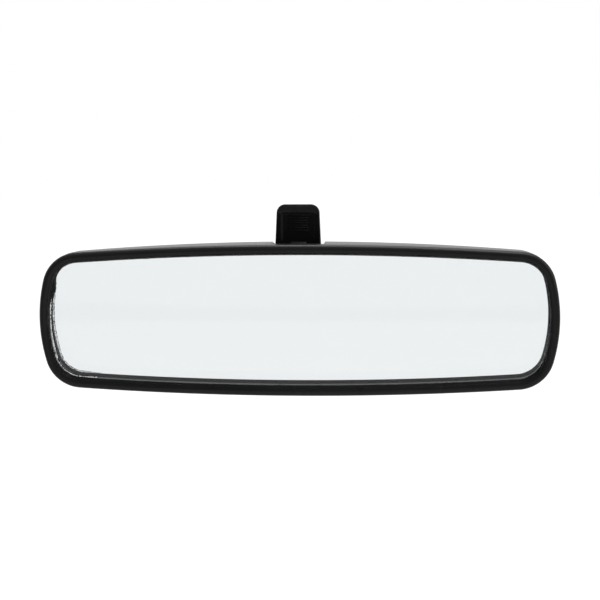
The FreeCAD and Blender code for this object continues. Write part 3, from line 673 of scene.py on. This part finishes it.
def glass_mesh():
    """A wedge of glass with ground edges; its back stays a hair in front of the silver."""
    sizes = settings().sizes
    ground = sizes.glass_ground
    rim = Rim()
    bm = bmesh.new()
    rings = []
    edges = ((ground, False, 0.0), (0.0, False, ground), (0.0, True, -ground), (ground, True, 0.0))
    for inset, back, step in edges:
        ring = []
        for station in rim.stations:
            point = rim.point(station, GLASS_INSET + inset, GLASS_FRONT)
            if back:
                point.y = FRONT + glass_depth(point.z) - GLASS_AIR
            point.y += step
            ring.append(bm.verts.new(point))
        rings.append(ring)
    bridge(bm, rings)
    return mesh_of(bm)


def bead_mesh():
    """The squeezed-out bead between the lip and the glass, uneven like hand-laid sealant."""
    sizes = settings().sizes
    rim = Rim(70, 60, 300)
    bm = bmesh.new()
    rings = []
    for station in rim.stations:
        spot = rim.point(station, sizes.lip, GLASS_FRONT)
        ripple = noise.noise(spot * 300.0) + 0.7 * noise.noise(spot * 1100.0)
        reach = sizes.bead * (0.7 + 0.6 * max(0.0, ripple))
        for x, z, spread, swell in BEAD_LUMPS:
            away = (spot - CENTRE - Vector((x, 0.0, z))).length / spread
            reach += swell * math.exp(-away ** 2) * (0.75 + 0.5 * noise.noise(spot * 900.0))
        height = min(0.00035, 0.00016 + 0.25 * reach)
        ring = []
        for step in range(BEAD_SIDES):
            turn = 2 * math.pi * step / BEAD_SIDES
            inset = sizes.lip - BEAD_TUCK + reach * math.cos(turn)
            depth = GLASS_FRONT - SEAL_GAP - height * 0.5 * (1 + math.sin(turn))
            ring.append(bm.verts.new(rim.point(station, inset, depth)))
        rings.append(ring)
    join_rings(bm, rings + rings[:1])
    outer = sizes.wall_inset + SEAL_GAP
    inner = sizes.lip - BEAD_TUCK
    front = GLASS_FRONT - GASKET_THICKNESS
    back = GLASS_FRONT - SEAL_GAP
    rim.sweep(bm, [(outer, front), (inner, front), (inner, back), (outer, back)])
    return mesh_of(bm)


# --- geometry nodes -------------------------------------------------------------------------------
class NodeGroup:
    """A geometry node tree with named inputs, made in the script."""

    def __init__(self, name, inputs):
        self.tree = bpy.data.node_groups.new(name, "GeometryNodeTree")
        face = self.tree.interface
        face.new_socket("Geometry", in_out="INPUT", socket_type="NodeSocketGeometry")
        self.defaults = {}
        for label, (kind, value) in inputs.items():
            face.new_socket(label, in_out="INPUT", socket_type=kind)
            self.defaults[label] = value
        face.new_socket("Geometry", in_out="OUTPUT", socket_type="NodeSocketGeometry")
        self.start = self.add("NodeGroupInput")
        self.end = self.add("NodeGroupOutput")

    def add(self, kind, options=None, inputs=None):
        node = self.tree.nodes.new(kind)
        for name, value in (options or {}).items():
            setattr(node, name, value)
        for key, value in (inputs or {}).items():
            if isinstance(value, bpy.types.NodeSocket):
                self.tree.links.new(value, node.inputs[key])
            else:
                node.inputs[key].default_value = value
        return node

    def given(self, label):
        return self.start.outputs[label]

    def finish(self, geometry, material):
        """End in Realize Instances and Set Material."""
        real = self.add("GeometryNodeRealizeInstances", None, {"Geometry": geometry})
        dressed = self.add("GeometryNodeSetMaterial", None, {
            "Geometry": real.outputs[0], "Material": material})
        self.tree.links.new(dressed.outputs[0], self.end.inputs[0])

    def result(self, mesh):
        """Run the tree on a mesh and return the plain mesh that it makes."""
        holder = bpy.data.objects.new("working", mesh)
        bpy.context.scene.collection.objects.link(holder)
        modifier = holder.modifiers.new("Repeat", "NODES")
        modifier.node_group = self.tree
        for item in self.tree.interface.items_tree:
            if item.in_out == "INPUT" and item.name in self.defaults:
                modifier[item.identifier] = self.defaults[item.name]
        bpy.context.view_layer.update()
        evaluated = holder.evaluated_get(bpy.context.evaluated_depsgraph_get())
        made = bpy.data.meshes.new_from_object(evaluated)
        bpy.data.objects.remove(holder)
        return made


def flake_mesh():
    """Chips along the glass's left edge: flat flakes scattered on a ragged strip beside the lip."""
    sizes = settings().sizes
    rim = Rim(90, 90, 120)
    bm = bmesh.new()
    rows = []
    for station in rim.stations:
        spot = rim.point(station, sizes.lip, GLASS_FRONT)
        rise = spot.z - MID_Z
        if spot.x > CHIPS_RIGHT or rise > CHIPS_TOP or rise < CHIPS_BOTTOM:
            continue
        wide = 0.00075 + 0.00022 * noise.noise(spot * 260.0)
        inner = rim.point(station, sizes.lip + wide, GLASS_FRONT - CHIPS_LIFT)
        outer = rim.point(station, sizes.lip + 0.00018, GLASS_FRONT - CHIPS_LIFT)
        rows.append((bm.verts.new(outer), bm.verts.new(inner)))
    for (first_out, first_in), (second_out, second_in) in zip(rows, rows[1:]):
        bm.faces.new((first_out, second_out, second_in, first_in))
    bmesh.ops.recalc_face_normals(bm, faces=bm.faces)
    for face in bm.faces:
        if face.normal.y > 0:
            face.normal_flip()
    strip = bpy.data.meshes.new("working")
    bm.to_mesh(strip)
    bm.free()

    group = NodeGroup("edge_flakes", {
        "Density": ("NodeSocketFloat", 1.2e7),
        "Flake Size": ("NodeSocketFloat", 0.00034),
        "Seed": ("NodeSocketInt", 11)})
    scatter = group.add("GeometryNodeDistributePointsOnFaces", {"distribute_method": "RANDOM"}, {
        "Mesh": group.given("Geometry"), "Density": group.given("Density"), "Seed": group.given("Seed")})
    flake = group.add("GeometryNodeMeshIcoSphere", None, {
        "Radius": group.given("Flake Size"), "Subdivisions": 1})
    flat = group.add("GeometryNodeTransform", None, {
        "Geometry": flake.outputs["Mesh"], "Scale": (1.0, 0.55, 0.02)})
    size = group.add("FunctionNodeRandomValue", {"data_type": "FLOAT"}, {
        "Min": 0.3, "Max": 1.0, "Seed": group.given("Seed")})
    spin = group.add("FunctionNodeRandomValue", {"data_type": "FLOAT_VECTOR"}, {
        "Min": (-0.03, -0.03, 0.0), "Max": (0.03, 0.03, 6.28), "Seed": group.given("Seed")})
    turned = group.add("FunctionNodeRotateRotation", {"rotation_space": "LOCAL"}, {
        "Rotation": (FLAKE_LEAN, 0.0, 0.0), "Rotate By": spin.outputs["Value"]})
    copies = group.add("GeometryNodeInstanceOnPoints", None, {
        "Points": scatter.outputs["Points"], "Instance": flat.outputs[0],
        "Rotation": turned.outputs[0], "Scale": size.outputs[1]})
    group.finish(copies.outputs[0], flake_finish("edge_flakes", (0.01, 0.01, 0.01), (0.96, 0.97, 0.98)))
    return group.result(strip)


def ragged_line_mesh():
    """The ragged dark line just inside the chips."""
    sizes = settings().sizes
    rim = Rim(90, 90, 120)
    bm = bmesh.new()
    rings = []
    for station in rim.stations:
        spot = rim.point(station, sizes.lip, GLASS_FRONT)
        rise = spot.z - MID_Z
        if spot.x > DARK_LINE_RIGHT or rise > DARK_LINE_TOP or rise < DARK_LINE_BOTTOM:
            continue
        middle = sizes.lip + 0.00105 + 0.00022 * noise.noise(spot * 230.0)
        half = 0.00018 * max(0.15, 0.75 + 1.1 * noise.noise(spot * 700.0))
        depth = GLASS_FRONT - 0.00003
        ring = [rim.point(station, middle - half, depth), rim.point(station, middle, depth - half * 0.5),
                rim.point(station, middle + half, depth)]
        rings.append([bm.verts.new(point) for point in ring])
    bridge(bm, rings)
    return mesh_of(bm)


# --- day and night lever --------------------------------------------------------------------------
class LeverPlace:
    """The lever's own axes: its pin, and the frame of the tab at rest."""

    def __init__(self):
        sizes = settings().lever
        self.pin = JOINT_PLACES["lever_flip"]
        travel = next(j for j in frame["joints"] if j["name"] == "lever_flip")["range_deg"][1]
        self.lean = math.radians(travel / 2)
        foot = self.pin + sizes.stem_length * Vector((0.0, math.sin(self.lean), math.cos(self.lean)))
        rise = LEVER_HIGH.z - foot.z - 0.0001
        self.length = rise / math.cos(TAB_LEAN)
        self.tab = Matrix.Translation(foot) @ Matrix.Rotation(-TAB_LEAN, 4, "X")
        self.stem = Matrix.Translation(self.pin) @ Matrix.Rotation(-self.lean, 4, "X")


def tab_outline(inset, bottom, top, steps=12):
    """Outline of the tab seen from the front: square below, rounded above, a little wider below."""
    sizes = settings().lever
    corner = sizes.tab_corner - inset * 0.6
    low = sizes.tab_width / 2 - inset
    high = sizes.tab_top_width / 2 - inset
    points = []
    for step in range(steps):
        points.append(Vector((-low + 2 * low * step / steps, bottom)))
    for step in range(steps):
        share = step / steps
        points.append(Vector((low + (high - low) * share, bottom + (top - corner - bottom) * share)))
    for step in range(steps + 1):
        turn = math.pi / 2 * step / steps
        points.append(Vector((
            high - corner + corner * math.cos(turn), top - corner + corner * math.sin(turn))))
    for step in range(1, 2 * steps):
        points.append(Vector((high - corner - 2 * (high - corner) * step / (2 * steps), top)))
    for step in range(steps + 1):
        turn = math.pi / 2 * (1 + step / steps)
        points.append(Vector((
            corner - high + corner * math.cos(turn), top - corner + corner * math.sin(turn))))
    for step in range(1, steps):
        share = 1 - step / steps
        points.append(Vector((-low - (high - low) * share, bottom + (top - corner - bottom) * share)))
    return points


def smooth_step(value, low, high):
    share = min(1.0, max(0.0, (value - low) / (high - low)))
    return share * share * (3 - 2 * share)


def tab_dish(x, z, top):
    """How far the tab's front is sunk at a place: the pad, its soft sides and a faint hollow."""
    sizes = settings().lever
    across = 1 - smooth_step(abs(x), sizes.pad_width / 2 - 0.0008, sizes.pad_width / 2 + 0.0012)
    down = 1 - smooth_step(z, top - sizes.pad_drop - 0.0004, top - sizes.pad_drop + 0.0005)
    hollow = 0.00022 * (1 - (x / sizes.tab_width * 2) ** 2)
    return sizes.pad_depth * across * down + hollow * smooth_step(top - z, 0.0, 0.0015)


def lever_mesh():
    """Finger tab with a dished pad and soft rims, on its stem and hub."""
    sizes = settings().lever
    place = LeverPlace()
    front = -sizes.tab_thickness / 2
    bottom = -sizes.tab_skirt
    soft = sizes.soft_edge
    bm = bmesh.new()
    rings = []

    def add_ring(outline, depth_of):
        rings.append([bm.verts.new(place.tab @ Vector((p.x, depth_of(p), p.y))) for p in outline])

    add_ring(tab_outline(soft, bottom + 0.0003, place.length - soft), lambda p: -front)
    for step in range(1, 7):
        turn = math.pi / 2 * step / 6
        inset = soft * (1 - math.sin(turn))
        depth = -front - soft * (1 - math.cos(turn))
        add_ring(tab_outline(inset, bottom, place.length - inset), lambda p: depth)
    for step in range(7):
        turn = math.pi / 2 * step / 6
        inset = soft * (1 - math.cos(turn))
        depth = front + soft * (1 - math.sin(turn))
        outline = tab_outline(inset, bottom, place.length - inset)
        add_ring(outline, lambda p: depth + tab_dish(p.x, p.y, place.length) * smooth_step(step, 2, 6))
    last = tab_outline(soft, bottom, place.length - soft)
    middle = Vector((0.0, (bottom + place.length) / 2))
    ring_count = 44
    for step in range(1, ring_count):
        share = 1 - step / ring_count
        outline = [middle + (p - middle) * share for p in last]
        add_ring(outline, lambda p: front + tab_dish(p.x, p.y, place.length))
    bridge(bm, rings)

    stem = []
    thick = sizes.stem_thickness / 2
    stem_half = sizes.stem_width / 2
    for share, width in ((0.0, 0.86), (0.02, 0.95), (0.06, 1.0), (0.94, 1.0), (0.98, 0.95), (1.0, 0.86)):
        x = stem_half * (2 * share - 1)
        outline = softened([
            (-thick, 0.0, 0.0), (thick, 0.0, 0.0), (thick, sizes.stem_shoulder, 0.001),
            (0.0016, sizes.stem_length + 0.0018, 0.0003), (-0.0002, sizes.stem_length + 0.0018, 0.0003),
            (-thick, sizes.stem_shoulder, 0.001)])
        stem.append([bm.verts.new(place.stem @ Vector((x, p.x * width, p.y))) for p in outline])
    bridge(bm, stem)
    hub = []
    steps = 48
    for share, radius in ((0.0, 0.92), (0.03, 0.98), (0.07, 1.0), (0.93, 1.0), (0.97, 0.98), (1.0, 0.92)):
        x = stem_half * (2 * share - 1)
        ring = []
        for step in range(steps):
            turn = 2 * math.pi * step / steps
            ring.append(bm.verts.new(place.stem @ Vector((
                x, sizes.hub_radius * radius * math.cos(turn), sizes.hub_radius * radius * math.sin(turn)))))
        hub.append(ring)
    bridge(bm, hub)
    return mesh_of(bm)


def lever_rib_mesh():
    """Ribs across the pad: one soft bar repeated down it."""
    sizes = settings().lever
    place = LeverPlace()
    pitch = sizes.rib_pitch
    bm = bmesh.new()
    half = sizes.rib_width / 2
    radius = pitch * 0.27
    rings = []
    for x, share in ((-half, 0.3), (-half + radius * 0.5, 0.85), (-half + radius, 1.0),
                     (half - radius, 1.0), (half - radius * 0.5, 0.85), (half, 0.3)):
        ring = []
        for step in range(12):
            turn = 2 * math.pi * step / 12
            ring.append(bm.verts.new(Vector((
                x, radius * share * 1.5 * math.cos(turn), radius * share * math.sin(turn)))))
        rings.append(ring)
    bridge(bm, rings)
    bar = mesh_of(bm)

    group = NodeGroup("pad_ribs", {
        "Count": ("NodeSocketInt", sizes.rib_count),
        "Pitch": ("NodeSocketFloat", pitch)})
    step = group.add("ShaderNodeCombineXYZ", None, {})
    down = group.add("ShaderNodeMath", {"operation": "MULTIPLY"}, {0: group.given("Pitch"), 1: -1.0})
    group.tree.links.new(down.outputs[0], step.inputs["Z"])
    line = group.add("GeometryNodeMeshLine", {"mode": "OFFSET", "count_mode": "TOTAL"}, {
        "Count": group.given("Count"), "Offset": step.outputs[0]})
    copies = group.add("GeometryNodeInstanceOnPoints", None, {
        "Points": line.outputs[0], "Instance": group.given("Geometry")})
    group.finish(copies.outputs[0], finish_of("lever_plastic"))
    made = group.result(bar)
    floor = -sizes.tab_thickness / 2 + sizes.pad_depth + 0.00015
    first = place.length - sizes.pad_drop - pitch
    made.transform(place.tab @ Matrix.Translation((0.0, floor, first)))
    return made


# --- foam -----------------------------------------------------------------------------------------
def foam_mesh():
    """The four foam blocks, a little crowned and open-celled."""
    mesh = merged_copy("foam_blocks")
    return applied(
        mesh,
        ("BEVEL", {"width": 0.0006, "segments": 2, "limit_method": "ANGLE"}))


# --- operators ------------------------------------------------------------------------------------
class PieceOperator:
    """Shared by the operators that make pieces."""

    bl_options = {"REGISTER", "UNDO"}

    @classmethod
    def poll(cls, context):
        return context.scene is not None


class MIRROR_OT_finishes(PieceOperator, bpy.types.Operator):
    """Give every CAD node its procedural finish"""

    bl_idname = "mirror.finishes"
    bl_label = "Finishes"

    def execute(self, context):
        slots = {part["node"]: part["material_slot"] for part in frame["record"]["subparts"]}
        for name, node in frame["nodes"].items():
            material = finish_of(slots[name])
            for holder in node.material_slots:
                holder.material = material
            if not node.material_slots:
                raise RuntimeError(name + " has no material slot")
        return {"FINISHED"}


class MIRROR_OT_bezel(PieceOperator, bpy.types.Operator):
    """Mould the bezel round the glass"""

    bl_idname = "mirror.bezel"
    bl_label = "Bezel"

    def execute(self, context):
        place_piece(bezel_mesh(), "bezel_moulding", "bezel_plastic", "case", ["front_bezel"], 50.0)
        return {"FINISHED"}


class MIRROR_OT_glass(PieceOperator, bpy.types.Operator):
    """Grind the prismatic glass"""

    bl_idname = "mirror.glass"
    bl_label = "Glass"

    def execute(self, context):
        place_piece(glass_mesh(), "prism_glass", "mirror_glass", "case", ["mirror_glass"], 20.0)
        return {"FINISHED"}


class MIRROR_OT_bead(PieceOperator, bpy.types.Operator):
    """Lay the sealing bead and the chips along the glass's edge"""

    bl_idname = "mirror.bead"
    bl_label = "Sealing Bead"

    def execute(self, context):
        place_piece(bead_mesh(), "sealing_bead", "seal_rubber", "case", ["edge_seal"], 60.0)
        place_piece(flake_mesh(), "edge_flakes", "silver", "case", (), 20.0)
        # A ragged dark strip in the bead's rubber, just inside the chips.
        place_piece(ragged_line_mesh(), "edge_dark_line", "seal_rubber", "case", (), 60.0)
        return {"FINISHED"}


class MIRROR_OT_case(PieceOperator, bpy.types.Operator):
    """Mould the rear case"""

    bl_idname = "mirror.case"
    bl_label = "Rear Case"

    def execute(self, context):
        place_piece(merged_copy("rear_case"), "case_moulding", "case_plastic", "case", ["rear_case"], 35.0)
        return {"FINISHED"}


class MIRROR_OT_foam(PieceOperator, bpy.types.Operator):
    """Cut the foam blocks behind the glass"""

    bl_idname = "mirror.foam"
    bl_label = "Foam Blocks"

    def execute(self, context):
        foam = place_piece(foam_mesh(), "foam_cushions", "foam", "case", ["foam_blocks"], 60.0)
        return {"FINISHED"}


class MIRROR_OT_lever(PieceOperator, bpy.types.Operator):
    """Mould the day and night lever and its ribs"""

    bl_idname = "mirror.lever"
    bl_label = "Lever"

    def execute(self, context):
        place_piece(lever_mesh(), "lever_moulding", "lever_plastic", "lever", ["dip_lever"], 35.0)
        place_piece(lever_rib_mesh(), "lever_ribs", "lever_plastic", "lever", (), 60.0)
        return {"FINISHED"}


class MIRROR_OT_arm(PieceOperator, bpy.types.Operator):
    """Turn the arm, its sockets, balls and foot"""

    bl_idname = "mirror.arm"
    bl_label = "Arm and Foot"

    def execute(self, context):
        turned = (
            ("arm_tube", "arm_barrel", "arm_paint", "arm"),
            ("head_ball_cup", "head_socket_shell", "arm_paint", "head_socket"),
            ("head_ball_stud", "head_ball", "bright_steel", "bracket"),
            ("foot_ball_stud", "foot_ball", "bright_steel", "foot"),
            ("mount_foot", "foot_casting", "foot_paint", "foot"),
            ("foot_ball_liner", "foot_liner_shell", "liner_nylon", "foot_liner"),
            ("head_ball_liner", "head_liner_shell", "liner_nylon", "head_liner"),
        )
        for node, name, slot, body in turned:
            place_piece(merged_copy(node), name, slot, body, [node], 35.0)
        return {"FINISHED"}


class MIRROR_OT_stage(PieceOperator, bpy.types.Operator):
    """Set the camera, the soft light and the pale floor"""

    bl_idname = "mirror.stage"
    bl_label = "Stage"

    def execute(self, context):
        stage = settings().stage
        scene = context.scene
        scene.view_settings.view_transform = "Standard"
        make_world(scene)
        make_floor(stage)
        make_camera(scene, stage)
        make_lights(stage)
        return {"FINISHED"}


# --- stage ----------------------------------------------------------------------------------------
def make_world(scene):
    """White backdrop behind the part, softer light from the front and sides."""
    world = bpy.data.worlds.new("studio")
    scene.world = world
    world.use_nodes = True
    tree = world.node_tree
    backdrop = tree.nodes["Background"]
    place = tree.nodes.new("ShaderNodeTexCoord")
    parts = tree.nodes.new("ShaderNodeSeparateXYZ")
    fade = tree.nodes.new("ShaderNodeMapRange")
    seen = tree.nodes.new("ShaderNodeLightPath")
    pick = tree.nodes.new("ShaderNodeMix")
    tree.links.new(place.outputs["Generated"], parts.inputs[0])
    tree.links.new(parts.outputs["Y"], fade.inputs["Value"])
    fade.inputs["From Min"].default_value = -0.45
    fade.inputs["From Max"].default_value = 0.5
    fade.inputs["To Min"].default_value = 0.1
    fade.inputs["To Max"].default_value = 0.8
    tree.links.new(seen.outputs["Is Camera Ray"], pick.inputs[0])
    tree.links.new(fade.outputs[0], pick.inputs[2])
    pick.inputs[3].default_value = 1.0
    tree.links.new(pick.outputs[0], backdrop.inputs["Strength"])
    backdrop.inputs["Color"].default_value = (1.0, 1.0, 1.0, 1.0)


def stage_plane(name, corners, material):
    mesh = bpy.data.meshes.new(name)
    mesh.from_pydata(corners, [], [list(range(len(corners)))])
    mesh.materials.append(material)
    plane = bpy.data.objects.new(name, mesh)
    bpy.context.scene.collection.objects.link(plane)
    return plane


def make_floor(stage):
    """A pale floor that glows white behind the part: painted light, with no glow near the part."""
    finish = Finish("studio_floor", Roughness=0.9, Specular_IOR_Level=0.1)
    parts = finish.add("ShaderNodeSeparateXYZ", {}, {0: finish.place})
    depth = Signal(finish, parts.outputs["Y"])
    speckle = finish.cloud(30.0)
    finish.feed("Base Color", finish.between((0.78, 0.78, 0.78), (0.84, 0.84, 0.84), speckle))
    finish.shader.inputs["Emission Strength"].default_value = 1.0
    # Painted light: the floor's emission rises from none near the part to a white glow behind it, standing in for
    # lamp light on the far floor.
    glow = finish.spread(depth, 0.05, 0.5, 0.0, 1.0)
    finish.feed("Emission Color", finish.between((0.0, 0.0, 0.0), (0.75, 0.75, 0.75), glow))
    level = min(corner[2] for corner in CAD_BOX) - stage.floor_drop
    reach = FLOOR_REACH
    stage_plane("studio_floor", [
        (-reach, -reach, level), (reach, -reach, level), (reach, reach, level), (-reach, reach, level)],
        finish.material)


def make_camera(scene, stage):
    camera = bpy.data.objects.new("camera", bpy.data.cameras.new("camera"))
    scene.collection.objects.link(camera)
    back = Vector((
        math.sin(stage.azimuth) * math.cos(stage.elevation),
        -math.cos(stage.azimuth) * math.cos(stage.elevation),
        math.sin(stage.elevation)))
    aim = CENTRE + Vector((stage.aim_side, 0.0, stage.aim_rise))
    camera.location = aim + back * stage.distance
    camera.rotation_mode = "QUATERNION"
    roll = Quaternion((0.0, 0.0, 1.0), stage.roll)
    camera.rotation_quaternion = (-back).to_track_quat("-Z", "Y") @ roll
    camera.data.lens = stage.lens
    camera.data.clip_start = 0.01
    scene.camera = camera


def soft_box(name, place, aim, width, height, watts):
    light = bpy.data.objects.new(name, bpy.data.lights.new(name, "AREA"))
    light.data.shape = "RECTANGLE"
    light.data.size = width
    light.data.size_y = height
    light.data.energy = watts
    light.location = place
    light.rotation_mode = "QUATERNION"
    light.rotation_quaternion = (aim - place).to_track_quat("-Z", "Y")
    bpy.context.scene.collection.objects.link(light)
    return light


def make_lights(stage):
    """An overhead soft box, and a white card in front that the mirror reflects."""
    soft_box("overhead", CENTRE + Vector((0.15, 0.15, 0.9)), CENTRE, 1.0, 0.5, 8.2)
    soft_box("side", CENTRE + Vector((0.9, -0.15, 0.35)), CENTRE, 0.3, 0.6, 1.3)
    card_glow = Finish("reflector_card", Roughness=1.0, Specular_IOR_Level=0.0)
    card_glow.shader.inputs["Base Color"].default_value = (0.0, 0.0, 0.0, 1.0)
    card_glow.shader.inputs["Emission Strength"].default_value = stage.card_glow
    warmth = card_glow.cloud(2.5, 1.0)
    card_glow.feed("Emission Color", card_glow.between((1.0, 1.0, 1.0), (0.985, 0.99, 1.0), warmth))
    y = CENTRE.y - CARD_DISTANCE
    low = CENTRE.z + CARD_LOW
    high = CENTRE.z + CARD_HIGH
    stage_plane("reflector_card", [
        (CARD_LEFT, y, low), (CARD_LEFT, y, high), (CARD_RIGHT, y, high), (CARD_RIGHT, y, low)],
        card_glow.material)


# --- sidebar --------------------------------------------------------------------------------------
class MIRROR_PT_sidebar(bpy.types.Panel):
    """Buttons and sizes for the rearview mirror"""

    bl_label = "Rearview Mirror"
    bl_idname = "MIRROR_PT_sidebar"
    bl_space_type = "VIEW_3D"
    bl_region_type = "UI"
    bl_category = "Rearview Mirror"

    def draw(self, context):
        for operator in OPERATORS:
            self.layout.operator(operator.bl_idname)
        for group in ("sizes", "lever", "colours", "stage"):
            section = getattr(settings(), group)
            box = self.layout.box()
            for name in type(section).__annotations__:
                box.prop(section, name)


OPERATORS = (
    MIRROR_OT_finishes, MIRROR_OT_bezel, MIRROR_OT_glass, MIRROR_OT_bead, MIRROR_OT_case,
    MIRROR_OT_foam, MIRROR_OT_lever, MIRROR_OT_arm, MIRROR_OT_stage)
GROUPS = (MirrorSizes, LeverSizes, MirrorColours, StageSettings, MirrorSettings)


def register():
    for cls in GROUPS + OPERATORS + (MIRROR_PT_sidebar,):
        bpy.utils.register_class(cls)
    bpy.types.Scene.rearview_mirror = bpy.props.PointerProperty(type=MirrorSettings)


def unregister():
    del bpy.types.Scene.rearview_mirror
    for cls in reversed(GROUPS + OPERATORS + (MIRROR_PT_sidebar,)):
        bpy.utils.unregister_class(cls)


def main():
    register()
    for step in ("finishes", "bezel", "glass", "bead", "case", "foam", "lever", "arm", "stage"):
        getattr(bpy.ops.mirror, step)()


if __name__ == "__main__":
    main()
